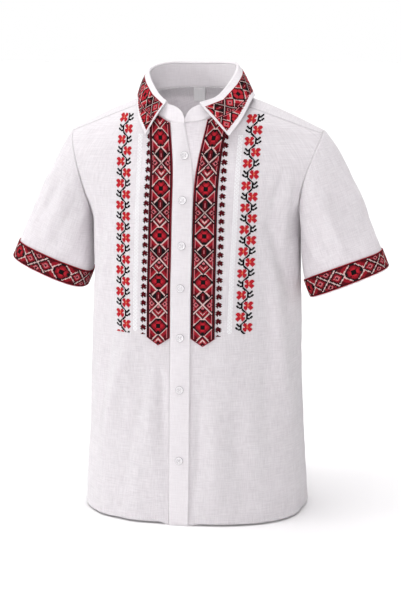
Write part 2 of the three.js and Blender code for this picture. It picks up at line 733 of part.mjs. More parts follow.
function add(name, geometry, material) {
  const mesh = new THREE.Mesh(geometry, material);
  mesh.name = name;
  shirt.add(mesh);
  return mesh;
}

add("front_left", frontGeometry(LEFT), linen);
add("front_right", frontGeometry(RIGHT), linen);
add("back", backGeometry(), linen);
add("yoke", yokeGeometry(), linen);
add("sleeve_left", sleeveGeometry(LEFT), linen);
add("sleeve_right", sleeveGeometry(RIGHT), linen);
add("sleeve_band_left", sleeveBandGeometry(LEFT), embroidered);
add("sleeve_band_right", sleeveBandGeometry(RIGHT), embroidered);
add("front_band_left", frontBandGeometry(LEFT), embroidered);
add("front_band_right", frontBandGeometry(RIGHT), embroidered);
add("button_band", buttonBandGeometry(), linen);
add("collar_stand", standGeometry(), linen);
add("collar_leaf", leafGeometry(), embroidered);
add("neck_label", labelGeometry(), labelCloth);

const button = buttonGeometry();
BUTTON_HEIGHTS.forEach((z, i) => {
  const mesh = add(`button_${i + 1}`, button, pearl);
  const { point, normal } = onFront(RIGHT, BUTTON_LINE, z);
  mesh.position.copy(point).addScaledVector(normal, LIFT + APPLIED + SEAM);
  mesh.quaternion.setFromUnitVectors(UP, normal);
});

// The origin is on the floor, under the middle of the shirt's box.
const part = new THREE.Group();
part.add(shirt);
const box = new THREE.Box3().setFromObject(shirt, true);
const middle = box.getCenter(new THREE.Vector3());
shirt.position.set(-middle.x, -middle.y, -box.min.z);

export default part;
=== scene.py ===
"""A white linen folk shirt with cross-stitched bands, filled out and open at neck, hem and cuffs.

Metres, +Z up; the buttoned front faces -Y. Left and right are as seen from the front. The CAD solids
give the form of every piece; this file makes the cloth, the stitches, the buttons and the light.
"""

import collections
import math

import bmesh
import bpy
import numpy as np
from mathutils import Matrix, Vector, noise
from mathutils.bvhtree import BVHTree


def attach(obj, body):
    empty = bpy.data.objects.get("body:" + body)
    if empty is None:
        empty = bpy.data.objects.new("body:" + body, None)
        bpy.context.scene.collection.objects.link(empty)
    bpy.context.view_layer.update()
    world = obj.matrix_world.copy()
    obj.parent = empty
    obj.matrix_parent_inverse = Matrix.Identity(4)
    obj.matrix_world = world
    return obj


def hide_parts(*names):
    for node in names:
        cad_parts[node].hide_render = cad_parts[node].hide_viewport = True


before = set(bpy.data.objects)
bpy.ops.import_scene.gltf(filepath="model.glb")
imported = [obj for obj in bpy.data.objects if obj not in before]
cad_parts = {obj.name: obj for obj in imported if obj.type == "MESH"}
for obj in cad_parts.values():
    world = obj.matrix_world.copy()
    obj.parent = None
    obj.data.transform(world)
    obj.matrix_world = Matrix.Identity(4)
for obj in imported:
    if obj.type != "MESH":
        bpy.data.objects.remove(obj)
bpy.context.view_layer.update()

MM = 0.001
LEFT, RIGHT = -1, 1
SIDES = {"left": LEFT, "right": RIGHT}

# ---- sizes, in millimetres ----
STITCH = 1.44  # one cross stitch across
STITCH_LIFT = 0.12  # between the cloth and the edges of a stitch
STITCH_CROWN = 0.38  # the middle of a stitch over its edges
BAND_NEAR = 17.2  # front bands: inner edge from the middle
BAND_WIDTH = 39
BAND_COLUMNS = 27  # stitches across a front band
BAND_BORDER = (1.1, 2.2)  # stitches in from its edge where the black and the maroon line end
BAND_HEAD = 672  # where its stitches end, under the collar
BAND_FOOT = 313  # where their pointed ends begin
BAND_POINT = 13
BAND_REPEAT = 52  # stitches from one rosette to the next
BAND_ROSETTES = (257, 332.6, 405.4, 479, 554.3, 635, 716)  # heights of their middles
SWING_START, SWING_END = 545, 700  # the strips swing aside towards the neck between these
CLEAR_OF_FRONT = -300  # a depth well in front of the shirt
BAND_SWING = {LEFT: (10, 6), RIGHT: (20, 12)}  # inner and outer edge of a band
SLEEVE_AXIS = {LEFT: ((-200, 8, 575), (-261, 10.3, 397)), RIGHT: ((200, 8, 575), (260, 10.3, 393.5))}
NECK_MIDDLE = (-3, -12)  # x and y of the upright line that the collar goes round
NECK_CENTRE = Vector((*NECK_MIDDLE, 0)) * MM
BODY_MIDDLE = 10.3  # y of the upright line that the body goes round
SHOULDER_HEIGHT = 560  # above it the cloth of the body turns to face up
SEAM_STITCH = (2.3, 0.56, 0.32)  # length, width and thickness of a sewing stitch
SEAM_STITCH_LIFT = 0.08
SEAM_PITCH = 3.2  # from one to the next
HEM_LINE = 9  # line of stitches over the hem
EDGE_LINE = 2.6  # lines of stitches inside the edges of the button band and at the armholes
COLLAR_LINE = 1.7  # and inside the collar's free edge
SEAM_GROWTH = 0.55  # cloth reaches this far into its seams, where the solids leave gaps
WELD = 0.02  # corners of a solid closer than this are one
WALL_WIDTH = 2.2  # edges shorter than this run across the thickness of a wall
RIM_ANGLE = math.radians(50)  # edges that are sharper than this are rims

# The collar leaf's fold and its free edge, from the left front corner round to the right one.
COLLAR_FOLD = (
    (-35.1, -74, 691.6), (-56.4, -55, 706.6), (-74.7, -25.4, 725.1), (-83, 3.3, 741.6),
    (-59.9, 46.7, 752.1), (-3.1, 57.3, 752.1), (53.1, 45.9, 752.6), (73, 1.8, 745.6),
    (65.7, -23.8, 723.6), (49.8, -53.9, 700.6), (22.4, -73, 690.1),
)
COLLAR_EDGE = (
    (-66.1, -86.7, 641), (-80.1, -72.7, 665), (-92.1, -37.7, 691), (-99.1, 6.3, 698),
    (-72.1, 58.3, 701), (-3.1, 80.3, 703), (65.9, 60.3, 702), (96.9, 8.3, 702),
    (98.9, -27.7, 697), (89.9, -70.7, 667), (71.9, -86.7, 640),
)

CREASE_RISE = 2.0  # how much stronger the creases below are made
HEM_ROLL = 1.5  # the hem's edge turns in by this much over the height below
HEM_ROLL_HEIGHT = 5
HEM_CLEAR = 3.6  # the fronts' hem hangs this far off the floor, beside the button band
HEM_CLEAR_HEIGHT = 16  # which lifts the cloth up to this height
HEM_CLEAR_FROM = (17, 34)  # and grows between these distances from the middle

# Where the body's creases fade out: each pair goes from no crease to the full one, or back.
SIDE_FADE = (2, 30)  # distance in depth from the side seams
YOKE_FADE = (575, 622)  # height
ARMHOLE_FADE = (2, 26)  # distance from the edge of the armhole, above ARMHOLE_FOOT
ARMHOLE_FOOT = 470
ARMHOLE_EDGE = ((492, 640), (176, 212))  # heights, and distances from the middle
BAND_FADE = (0, 14)  # distance from the stiff bands
BAND_EDGE = ((250, 310), (20, 64))  # heights, and how far out the stiff part reaches
BODY_HALVES = (190, 130)  # half the width and depth of an oval that gives the way out of the body

# Fine unevenness of the cloth, in layers: height, size across and up, seed.
BODY_CRUMPLE = ((2.6, 42, 80, 3.7), (0.8, 12, 22, 9.2))
SLEEVE_CRUMPLE = ((1.9, 30, 56, 5.1), (0.6, 10, 20, 2.4))
BUTTON_BAND_CRUMPLE = ((0.5, 40, 13, 6.3),)
BUTTON_BAND_HEM = (0, 12)  # heights over which it begins
BUTTON_BAND_SHIFT = (0, 0.35, 2.2)  # the band runs up under the foot of the collar stand
BUTTON_BAND_NECK = (640, 657)  # between these heights

# Soft creases of the cloth, besides the broad folds of the solids: x and z at the foot and at the
# head, width and height (a trough where it is negative).
FRONT_CREASES = (
    (-22, 120, -34, 300, 12, -2.2), (-44, 20, -50, 232, 15, 1.2), (-84, 90, -56, 300, 15, -2.8),
    (-150, 110, -84, 330, 15, 3.8), (-158, 60, -118, 380, 10, -2.8), (-100, 20, -84, 190, 13, -2.2),
    (-164, 300, -128, 470, 9, 2.4), (-172, 380, -136, 540, 8, -2.6), (-150, 440, -168, 570, 8, 2.0),
    (25, 40, 32, 236, 8, -1.4), (60, 20, 50, 270, 13, 1.6), (88, 60, 98, 300, 14, -1.1),
    (118, 30, 104, 300, 16, 1.3), (146, 60, 134, 420, 14, -2.2), (170, 180, 140, 460, 9, 2.4),
    (172, 360, 134, 520, 9, -3.4), (150, 430, 168, 575, 8, 2.2), (128, 470, 158, 590, 7, -1.8),
)
BACK_CREASES = (
    (-150, 40, -130, 350, 12, 2.0), (-110, 80, -96, 420, 10, -1.8), (-48, 40, -40, 330, 14, 2.0),
    (-12, 60, -4, 400, 9, -1.4), (36, 30, 30, 350, 13, 2.0), (84, 70, 92, 440, 10, -1.8),
    (128, 40, 138, 380, 12, 2.0), (-168, 260, -120, 540, 9, -2.2), (168, 260, 122, 550, 9, -2.2),
    (-84, 330, -60, 590, 10, 1.4), (70, 340, 92, 590, 10, 1.4),
)
# Creases of a sleeve: angle in degrees round it (0 outside, 90 in front) at its head and foot, the
# shares of its length where it starts and ends, width in degrees and height.
SLEEVE_CREASES = (
    (70, 50, 0.06, 0.62, 9, -1.8), (84, 76, 0.08, 0.9, 8, 1.5), (112, 96, 0.04, 0.74, 8, -2.0),
    (132, 118, 0.1, 0.86, 9, 1.6), (38, 30, 0.1, 0.8, 10, -1.2), (14, 8, 0.04, 0.5, 10, 1.0),
    (248, 258, 0.05, 0.8, 9, -1.9), (276, 280, 0.1, 0.9, 9, 1.5), (300, 312, 0.06, 0.7, 9, -1.6),
    (336, 330, 0.1, 0.7, 10, 1.1),
)
SLEEVE_HEAD_FADE = (0.06, 0.22)  # shares of its length between which creases begin
SLEEVE_FOOT_FADE = (0.66, 0.8)  # and end, over the stiff band
UNDERARM_FADE = (10, 45)  # degrees from the side that faces the body, where they are weaker
UNDERARM_CALM = 0.8  # by this share


# ---- shader maths as Python ----
class Reading:
    """One value of a finish, on which Python's operators add Math nodes."""

    def __init__(self, finish, socket):
        self.finish, self.socket = finish, socket

    def math(self, operation, *values):
        return self.finish.node("ShaderNodeMath", {"operation": operation}, dict(enumerate(values)))

    def __add__(self, other):
        return self.math("ADD", self, other)

    def __sub__(self, other):
        return self.math("SUBTRACT", self, other)

    def __rsub__(self, other):
        return self.math("SUBTRACT", other, self)

    def __mul__(self, other):
        return self.math("MULTIPLY", self, other)

    __radd__ = __add__

    def sine(self):
        return self.math("SINE", self)


class Finish:
    """A material being made. Keywords are what is the same all over it."""

    def __init__(self, name, base, roughness, **steady):
        self.material = bpy.data.materials.new(name)
        self.material.use_nodes = True
        self.tree = self.material.node_tree
        self.surface = self.tree.nodes["Principled BSDF"]
        self.give("Base Color", (*base, 1))
        self.give("Roughness", roughness)
        for socket, value in steady.items():
            self.give(socket.replace("_", " "), value)

    def node(self, kind, settings=None, inputs=None, output=0):
        made = self.tree.nodes.new(kind)
        for key, value in (settings or {}).items():
            setattr(made, key, value)
        for key, value in (inputs or {}).items():
            self.connect(made.inputs[key], value)
        return Reading(self, made.outputs[output])

    def connect(self, socket, value):
        if isinstance(value, Reading):
            self.tree.links.new(value.socket, socket)
        else:
            socket.default_value = value

    def give(self, socket, value):
        self.connect(self.surface.inputs[socket], value)

    def blend(self, share, first, second):
        colours = {6: (*first, 1), 7: (*second, 1)}
        return self.node("ShaderNodeMix", {"data_type": "RGBA"}, {0: share, **colours}, output=2)

    def along(self, across, up):
        """A point of the cloth's own UV map, its two directions scaled."""
        place = self.node("ShaderNodeUVMap", {"uv_map": "weave"})
        return self.node("ShaderNodeVectorMath", {"operation": "MULTIPLY"}, {0: place, 1: (across, up, 1)})

    def object_point(self, x, y, z):
        place = self.node("ShaderNodeTexCoord", output="Object")
        return self.node("ShaderNodeVectorMath", {"operation": "MULTIPLY"}, {0: place, 1: (x, y, z)})

    def part_of(self, vector, axis):
        return self.node("ShaderNodeSeparateXYZ", None, {0: vector}, output=axis)

    def clamp(self, value):
        return self.node("ShaderNodeClamp", None, {0: value})

    def cloud(self, vector, detail):
        inputs = {"Vector": vector, "Scale": 1.0, "Detail": detail, "Roughness": 0.5}
        return self.node("ShaderNodeTexNoise", None, inputs)

    def bump(self, height, distance):
        inputs = {"Height": height, "Distance": distance, "Strength": 1.0}
        self.give("Normal", self.node("ShaderNodeBump", None, inputs))


# Distances in metres, and patterns in cycles for each metre across and up the cloth.
WEAVE_PITCH = 0.00085  # from one thread of the weave to the next
WEAVE_DEPTH = 0.00016
SLUBS_UP = (680, 52)
SLUBS_ACROSS = (46, 680)
MOTTLE = (60, 42)
STRANDS = (1900, 1900, 1900)
STRAND_DEPTH = 0.00012
PEARL_CLOUDS = (260, 260, 520)


def linen(name, light, shade, weight=1.0, through=0.7, thin=0.005):
    """Plain-woven linen: threads both ways, some thicker than others, and a little uneven in tone.
    weight is the height of its threads; through and thin say how much light it lets through."""
    cloth = Finish(
        name, light, 0.9, Sheen_Weight=0.2, Sheen_Roughness=0.5, Specular_IOR_Level=0.15,
        Subsurface_Weight=through, Subsurface_Scale=thin, Subsurface_Radius=(1, 0.97, 0.985),
    )
    slubs_up, slubs_across = (cloth.cloud(cloth.along(*slubs), 3) for slubs in (SLUBS_UP, SLUBS_ACROSS))
    grain = slubs_up + slubs_across
    mottle = cloth.cloud(cloth.along(*MOTTLE), detail=4)
    turn = 2 * math.pi / WEAVE_PITCH
    threads = cloth.along(turn, turn)
    warp, weft = (cloth.part_of(threads, axis).sine() for axis in (0, 1))
    tone = (grain * 1.5 - 1.0) * 0.75 + (mottle - 0.5) * 0.4 + 0.15
    cloth.give("Base Color", cloth.blend(cloth.clamp(tone), light, shade))
    cloth.give("Roughness", 0.95 - grain * 0.1)
    cloth.bump(grain * 1.6 + warp * weft * 0.35, WEAVE_DEPTH * weight)
    return cloth.material


def thread(name, colour):
    """Stranded cotton: a soft sheen, and strands that show as fine ridges."""
    yarn = Finish(name, colour, 0.7, Sheen_Weight=0.02, Sheen_Roughness=0.4, Specular_IOR_Level=0.08)
    strands = yarn.cloud(yarn.object_point(*STRANDS), detail=2)
    yarn.give("Roughness", 0.58 + strands * 0.25)
    yarn.bump(strands, STRAND_DEPTH)
    return yarn.material


FINISHES = {
    "linen": linen("linen", (0.82, 0.79, 0.812), (0.62, 0.588, 0.61)),
    "linen_double": linen(
        "linen_double", (0.83, 0.803, 0.822), (0.72, 0.69, 0.71), weight=0.8, through=0.25
    ),
    "band_ground": linen("band_ground", (0.3, 0.03, 0.045), (0.2, 0.015, 0.025)),
    "tape": linen("tape", (0.93, 0.92, 0.93), (0.87, 0.855, 0.865), weight=0.6, through=1.0),
}
THREADS = {
    "r": thread("red_thread", (0.45, 0.017, 0.029)),
    "b": thread("band_red_thread", (0.27, 0.009, 0.018)),
    "d": thread("deep_red_thread", (0.09, 0.003, 0.007)),
    "m": thread("maroon_thread", (0.05, 0.002, 0.005)),
    "k": thread("black_thread", (0.006, 0.004, 0.005)),
    "p": thread("pink_thread", (0.52, 0.14, 0.16)),
    "o": thread("orange_thread", (0.66, 0.15, 0.07)),
    "c": thread("cream_thread", (0.66, 0.47, 0.45)),
    "w": thread("white_thread", (0.88, 0.88, 0.89)),
}


def pearl():
    """Pearly moulded buttons: faint clouds in the white, darkened by painted shade in the dish ring, on
    the outer edge and in the holes, as button_painted_shade gives.
    """
    shell = Finish("pearl", (0.86, 0.84, 0.86), 0.2, Coat_Weight=0.5, Coat_Roughness=0.1)
    cloud = shell.cloud(shell.object_point(*PEARL_CLOUDS), detail=3)
    # the weave map's u is the button's painted shade, mixed here with the pearl's clouds
    tone = shell.clamp(shell.part_of(shell.along(1, 1), 0) * 0.75 + cloud * 0.3)
    shell.give("Base Color", shell.blend(tone, (0.9, 0.885, 0.9), (0.42, 0.405, 0.42)))
    shell.give("Roughness", cloud * 0.2 + 0.14)
    return shell.material


FINISHES["pearl"] = pearl()


# ---- meshes ----
def put(name, data):
    """A new object in the scene."""
    thing = bpy.data.objects.new(name, data)
    bpy.context.scene.collection.objects.link(thing)
    return thing


def piece(name, mesh, materials, smooth=True):
    """A finished mesh as a piece of the shirt."""
    thing = put(name, mesh)
    for material in materials:
        mesh.materials.append(material)
    mesh.shade_smooth() if smooth else mesh.shade_flat()
    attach(thing, "root")
    return thing


def to_mesh(name, bm):
    mesh = bpy.data.meshes.new(name)
    bm.to_mesh(mesh)
    bm.free()
    return mesh


def finished(thing):
    """The mesh of an object after its modifiers. The object itself goes."""
    made = bpy.data.meshes.new_from_object(thing.evaluated_get(bpy.context.evaluated_depsgraph_get()))
    bpy.data.objects.remove(thing)
    return made


def solid_of(node):
    """The mesh of a CAD node, merged at its corners, to work on."""
    bm = bmesh.new()
    bm.from_mesh(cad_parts[node].data)
    bmesh.ops.remove_doubles(bm, verts=bm.verts, dist=WELD * MM)
    return bm


def is_rim(face):
    return min(edge.calc_length() for edge in face.edges) < WALL_WIDTH * MM


def close_up(bm, crease, grow):
    """Moves the rims of a wall out by grow, so that two pieces meet in their seam. The hem stays."""
    moves = {}
    for face in bm.faces:
        faces_down = face.normal.z < -0.8
        if sum(edge[crease] for edge in face.edges) >= 2 and is_rim(face) and not faces_down:
            for vert in face.verts:
                moves.setdefault(vert, []).append(face.normal.copy())
    for vert, normals in moves.items():
        if vert.co.z > 0.5 * MM:
            vert.co += sum(normals, Vector()).normalized() * (grow * MM)


def from_solid(node, levels, grow=0.0):
    """A finer mesh of a CAD node: in quads, the rims of its wall creased, then subdivided."""
    bm = solid_of(node)
    bmesh.ops.join_triangles(
        bm, faces=bm.faces, angle_face_threshold=math.radians(35), angle_shape_threshold=math.radians(70)
    )
    crease = bm.edges.layers.float.new("crease_edge")
    for edge in bm.edges:
        edge[crease] = float(edge.calc_face_angle(0) > RIM_ANGLE)
    close_up(bm, crease, grow)
    coarse = put("coarse", to_mesh("coarse", bm))
    rounding = coarse.modifiers.new("rounding", "SUBSURF")
    rounding.levels = rounding.render_levels = levels
    return finished(coarse)


def points_of(mesh):
    """A mesh's vertices in millimetres, one row each."""
    points = np.empty(len(mesh.vertices) * 3)
    mesh.vertices.foreach_get("co", points)
    return points.reshape(-1, 3) / MM


def move_points(mesh, points):
    mesh.vertices.foreach_set("co", (points * MM).ravel())
    mesh.update()


def ramp(low, high, value):
    """From 0 at low to 1 at high, with soft ends."""
    share = np.clip((value - low) / (high - low), 0, 1)
    return share * share * (3 - 2 * share)


def crumple(points, layers):
    """Soft unevenness, stretched along the hang of the cloth, in millimetres."""
    total = np.zeros(len(points))
    for rise, across, up, seed in layers:
        scaled = points / (across, across, up) + seed
        total += rise * np.array([noise.noise(Vector(p)) for p in scaled])
    return total


# ---- how the cloth departs from its solids ----
def crease_height(rows, x, z):
    """The body's creases at x and z, by the rows of one of the tables above."""
    height = np.zeros(len(x))
    for x_foot, z_foot, x_head, z_head, width, rise in rows:
        share = (z - z_foot) / (z_head - z_foot)
        centre = x_foot + (x_head - x_foot) * share
        profile = np.exp(-(((x - centre) / width) ** 2))
        height += rise * profile * np.sin(math.pi * np.clip(share, 0, 1))
    return height * CREASE_RISE


def ease_body(mesh, front):
    """Creases of the body's cloth, which fade towards its seams and under the stiff bands."""
    points = points_of(mesh)
    x, y, z = points.T
    y = y - BODY_MIDDLE
    free = ramp(*SIDE_FADE, -y if front else y) * (1 - ramp(*YOKE_FADE, z))
    armhole = np.interp(z, *ARMHOLE_EDGE)
    free *= np.where(z > ARMHOLE_FOOT, ramp(*ARMHOLE_FADE, armhole - np.abs(x)), 1)
    if front:
        free *= ramp(*BAND_FADE, np.abs(x) - np.interp(z, *BAND_EDGE))
    height = crease_height(FRONT_CREASES if front else BACK_CREASES, x, z)
    height += crumple(points, BODY_CRUMPLE)
    half_width, half_depth = BODY_HALVES
    outward = np.stack([x / half_width**2, y / half_depth**2, np.zeros(len(x))], axis=1)
    outward /= np.linalg.norm(outward, axis=1)[:, None]
    lift = height * free - HEM_ROLL * (1 - ramp(0, HEM_ROLL_HEIGHT, z))
    points += outward * lift[:, None]
    if front:
        lifted = (1 - ramp(0, HEM_CLEAR_HEIGHT, z)) * ramp(*HEM_CLEAR_FROM, np.abs(x))
        points[:, 2] += HEM_CLEAR * lifted
    move_points(mesh, points)


def sleeve_place(side, points):
    """Share of a sleeve's length, angle round it in degrees, and the direction away from its axis."""
    head, foot = (np.array(p, float) for p in SLEEVE_AXIS[side])
    axis = (foot - head) / np.linalg.norm(foot - head)
    share = (points - head) @ axis / np.linalg.norm(foot - head)
    away = points - head - np.outer((points - head) @ axis, axis)
    outside = np.array((side, 0, 0)) - axis * side * axis[0]
    outside /= np.linalg.norm(outside)
    angle = np.degrees(np.arctan2(-away[:, 1], away @ outside)) % 360
    return share, angle, away / np.linalg.norm(away, axis=1)[:, None]


def ease_sleeve(mesh, side):
    """Creases of a sleeve's cloth, which fade towards the armhole, the stiff band and the body."""
    points = points_of(mesh)
    share, angle, away = sleeve_place(side, points)
    height = np.zeros(len(points))
    for head_angle, foot_angle, start, end, width, rise in SLEEVE_CREASES:
        down = np.clip((share - start) / (end - start), 0, 1)
        centre = head_angle + (foot_angle - head_angle) * down
        profile = np.exp(-(((angle - centre) / width) ** 2))
        height += rise * profile * np.sin(math.pi * down)
    height = height * CREASE_RISE + crumple(points, SLEEVE_CRUMPLE)
    free = ramp(*SLEEVE_HEAD_FADE, share) * (1 - ramp(*SLEEVE_FOOT_FADE, share))
    free *= 1 - UNDERARM_CALM * (1 - ramp(*UNDERARM_FADE, np.abs(angle - 180)))
    move_points(mesh, points + away * (height * free)[:, None])


# ---- the cloth's own UV map, in metres ----
BODY_RADIUS = 0.155  # about how far the cloth is from the line that it goes round
NECK_RADIUS = 0.08
SLEEVE_RADIUS = 0.06
SLEEVE_LENGTH = 0.19
YOKE_FALL = 0.3  # how much of its fall adds to its length from front to back


def lay_weave(mesh, u, v):
    """Writes the direction across (u) and along the cloth (v), one value of each for each vertex."""
    corners = np.empty(len(mesh.loops), int)
    mesh.loops.foreach_get("vertex_index", corners)
    layer = mesh.uv_layers.new(name="weave")
    layer.data.foreach_set("uv", np.stack([u, v], axis=1)[corners].ravel())


def weave_round_body(mesh, front):
    x, y, z = points_of(mesh).T
    angle = np.arctan2(x, (BODY_MIDDLE - y) if front else (y - BODY_MIDDLE))
    lay_weave(mesh, angle * BODY_RADIUS, z * MM)


def weave_round_neck(mesh):
    x, y, z = points_of(mesh).T
    angle = np.arctan2(x - NECK_MIDDLE[0], y - NECK_MIDDLE[1])
    lay_weave(mesh, angle * NECK_RADIUS, z * MM)


def weave_down_sleeve(mesh, side):
    share, angle, _ = sleeve_place(side, points_of(mesh))
    lay_weave(mesh, np.radians(angle) * SLEEVE_RADIUS, share * SLEEVE_LENGTH)


def weave_over_shoulders(mesh):
    x, y, z = points_of(mesh).T
    lay_weave(mesh, x * MM, (y + z * YOKE_FALL) * MM)


# ---- cloth pieces ----
cloth = {}  # the piece that stands for each CAD node
stitched = collections.defaultdict(list)  # the pieces of stitches on each of them


def sew(node, mesh, finish="linen"):
    """The cloth piece that stands for a CAD node."""
    made = piece(node + "_cloth", mesh, [FINISHES[finish]])
    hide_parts(node)
    cloth[node] = made


for word, side in SIDES.items():
    mesh = from_solid("front_" + word, 3, SEAM_GROWTH)
    ease_body(mesh, front=True)
    weave_round_body(mesh, front=True)
    sew("front_" + word, mesh)

    mesh = from_solid("sleeve_" + word, 3, SEAM_GROWTH)
    ease_sleeve(mesh, side)
    weave_down_sleeve(mesh, side)
    sew("sleeve_" + word, mesh)

    mesh = from_solid("sleeve_band_" + word, 2)
    weave_down_sleeve(mesh, side)
    sew("sleeve_band_" + word, mesh, "band_ground")

    mesh = from_solid("front_band_" + word, 2)
    weave_round_body(mesh, front=True)
    sew("front_band_" + word, mesh, "band_ground")

mesh = from_solid("back", 3, SEAM_GROWTH)
ease_body(mesh, front=False)
weave_round_body(mesh, front=False)
sew("back", mesh)

mesh = from_solid("yoke", 3, SEAM_GROWTH)
weave_over_shoulders(mesh)
sew("yoke", mesh)

mesh = from_solid("button_band", 2, SEAM_GROWTH)
points = points_of(mesh)
points += np.outer(ramp(*BUTTON_BAND_NECK, points[:, 2]), BUTTON_BAND_SHIFT)
points[:, 1] -= crumple(points, BUTTON_BAND_CRUMPLE) * ramp(*BUTTON_BAND_HEM, points[:, 2])
move_points(mesh, points)
weave_round_body(mesh, front=True)
sew("button_band", mesh, "linen_double")

for node in ("collar_stand", "collar_leaf"):
    mesh = from_solid(node, 3, SEAM_GROWTH)
    weave_round_neck(mesh)
    sew(node, mesh, "linen_double")


# ---- embroidery ----
def tree_of(node):
    """Something to find the nearest cloth with: the surface of the piece that stands for a CAD node."""
    mesh = cloth[node].data
    return BVHTree.FromPolygons([v.co for v in mesh.vertices], [list(f.vertices) for f in mesh.polygons])


def out_of_body(point):
    """The rough direction out of the shirt at a point in metres."""
    return Vector((point.x, point.y - BODY_MIDDLE * MM, max(0, point.z - SHOULDER_HEIGHT * MM)))


def out_of_neck(point):
    return Vector((point.x, point.y, 0)) - NECK_CENTRE


def panel(on, name, columns, rows, place, colour_at, outward=out_of_body):
    """Cross stitches on the cloth of a CAD node. place(u, v) is a point of the cloth, or None off its
    edge; colour_at gives the thread of a stitch by column and row, counted from 0, or None."""
    bm = bmesh.new()
    bmesh.ops.create_grid(bm, x_segments=columns, y_segments=rows, size=0.5)
    letters = list(THREADS)
    empty = []
    for face in bm.faces:
        middle = face.calc_center_median()
        column = int((middle.x + 0.5) * columns)
        row = int((middle.y + 0.5) * rows)
        found = colour_at(column, row)
        if found is None:
            empty.append(face)
        else:
            face.material_index = letters.index(found)
    bmesh.ops.delete(bm, geom=empty, context="FACES")
    off = []
    for vert in bm.verts:
        point = place(vert.co.x + 0.5, vert.co.y + 0.5)
        if point is None:
            off.append(vert)
        else:
            vert.co = point
    bmesh.ops.delete(bm, geom=off, context="VERTS")
    bm.normal_update()
    facing = sum(face.normal.dot(outward(face.calc_center_median())) for face in bm.faces)
    if facing < 0:
        bmesh.ops.reverse_faces(bm, faces=bm.faces)
        bm.normal_update()
    bmesh.ops.poke(bm, faces=bm.faces, offset=STITCH_CROWN * MM, center_mode="MEAN_WEIGHTED")
    threads = list(THREADS.values())
    stitched[on].append(piece(name, to_mesh(name, bm), threads, smooth=False))


def swing(z, most):
    """How far aside a strip has swung at a height, of the most that it does."""
    return most * ramp(SWING_START, SWING_END, z) ** 1.2


def front_hit(tree, x, z):
    """The place on the front's outer surface at x and z, in millimetres, lifted for a stitch."""
    hit, normal, _, _ = tree.ray_cast(Vector((x, CLEAR_OF_FRONT, z)) * MM, Vector((0, 1, 0)))
    if hit is None or hit.y > 0:
        return None
    return hit + normal * (STITCH_LIFT * MM)


def heart(a, up):
    """The heart between a rosette and the cross over it: a light chevron on red."""
    chevron = up - a
    if 13.6 < chevron < 15.2 and a < 5:
        return "c" if a < 3 else "p"
    if 17 < chevron < 19:
        return "k"
    if up > 20.5 and a < 2:
        return "p"
    return "b" if chevron < 17 else "d"


def shuttle(a, up):
    """The dark lozenge under a rosette, with a thin streak down its middle."""
    if a < 1 and 12.5 < up < 20:
        return "p" if up > 16 else "b"
    return "d" if a < 3 and up > 13 else "k"


def jewel(a, up):
    """The lozenge of the sleeve bands: light rings round a dark middle."""
    ring = a + abs(up - 17)
    return "k" if ring < 1.6 else "p" if ring < 3.4 else "b" if ring < 5.2 else "d"


def band_colour(a, b, upper=heart, lower=shuttle):
    """Thread of a band at a stitches from its middle line and b along it from a rosette's middle,
    up to half a repeat. upper and lower fill the lozenges on the two sides of the rosette."""
    if a > 10:
        return "kdk"[min(int(a) - 11, 2)]
    up = abs(b)
    ring = max(a, 1.12 * up, 0.88 * (a + up))
    if ring < 10.2:
        if ring > 8.7 or max(a, up) < 2.6 or (a < 1.5 and up > 6):
            return "k"
        if abs(a - up) < 0.8 and ring > 4 or ring > 7.8:
            return "d"
        return "r" if ring < 5.2 else "b"
    cross = BAND_REPEAT / 2 - up
    if abs(a - cross) < 0.75:
        return "c"
    if abs(a - cross) < 2.4:
        return "k"
    if cross < a:
        spot = abs(a - 7.6) + cross
        if spot < 1.6:
            return "k"
        if spot < 3.2:
            return "p"
        return "d" if spot < 4.6 or a < 6 else "p" if a > 9 else "b"
    if up - a > 9.4:
        if up - a < 11.2:
            return "k"
        return upper(a, up) if b > 0 else lower(a, up)
    if up - a > 8 or a + up < 13:
        return "c"
    return "p" if a > 9 else "b" if a + up < 18 else "d"


def rosette_offset(z):
    """Stitches from the nearest rosette of a front band, positive above it."""
    turns = np.interp(z, BAND_ROSETTES, range(len(BAND_ROSETTES)))
    return (turns - round(turns)) * BAND_REPEAT


z_low, z_high = BAND_FOOT - BAND_POINT, BAND_HEAD
for word, side in SIDES.items():
    node = "front_band_" + word
    tree = tree_of(node)

    def band_place(u, v):
        z = z_low + (z_high - z_low) * v
        inner, outer = BAND_SWING[side]
        near = BAND_NEAR + swing(z, inner)
        far = BAND_NEAR + BAND_WIDTH + swing(z, outer)
        return front_hit(tree, side * (near + (far - near) * u), z)

    def band_thread(column, row):
        a = abs(column - BAND_COLUMNS // 2)
        z = z_low + (row + 0.5) * STITCH
        half = BAND_COLUMNS / 2
        inside = half - (BAND_FOOT - z) / BAND_POINT * half - a
        if inside < 0:
            return None
        if inside < BAND_BORDER[1]:
            return "k" if inside < BAND_BORDER[0] else "m"
        return band_colour(a, rosette_offset(z), lower=heart if z < BAND_ROSETTES[1] else shuttle)

    rows = round((z_high - z_low) / STITCH)
    panel(node, "front_stitches_" + word, BAND_COLUMNS, rows, band_place, band_thread)

# Charts of the motifs from the top down: each letter is a thread, and a dot is bare cloth.
FLOWERS = (
    "..rrr..rrr.kk...kk..",
    ".rrrrr.rrrr.kk.kkk..",
    ".rrrrrorrrr.kkkkk...",
    "..rrrrorrr..kkkk....",
    "...rroorr...kk...kk.",
    "..rrrrorrrr.kk..kkk.",
    ".rrrrrrrrrr.kkkkkk..",
    ".rrrrr.rrrr.kkkk....",
    "..rrr..rrr.kk.......",
    "...r....r.kkk.......",
    ".........kkk........",
    "........kkk.........",
)
STARS = (
    "..dd...",
    ".dddkd.",
    "kdmdddd",
    ".dddkd.",
    "kddmddk",
    ".kd.kd.",
    "..k....",
    ".......",
    ".......",
)
WHITEWORK = (
    "ww.ww",
    "w.w.w",
    ".www.",
    "w.w.w",
)

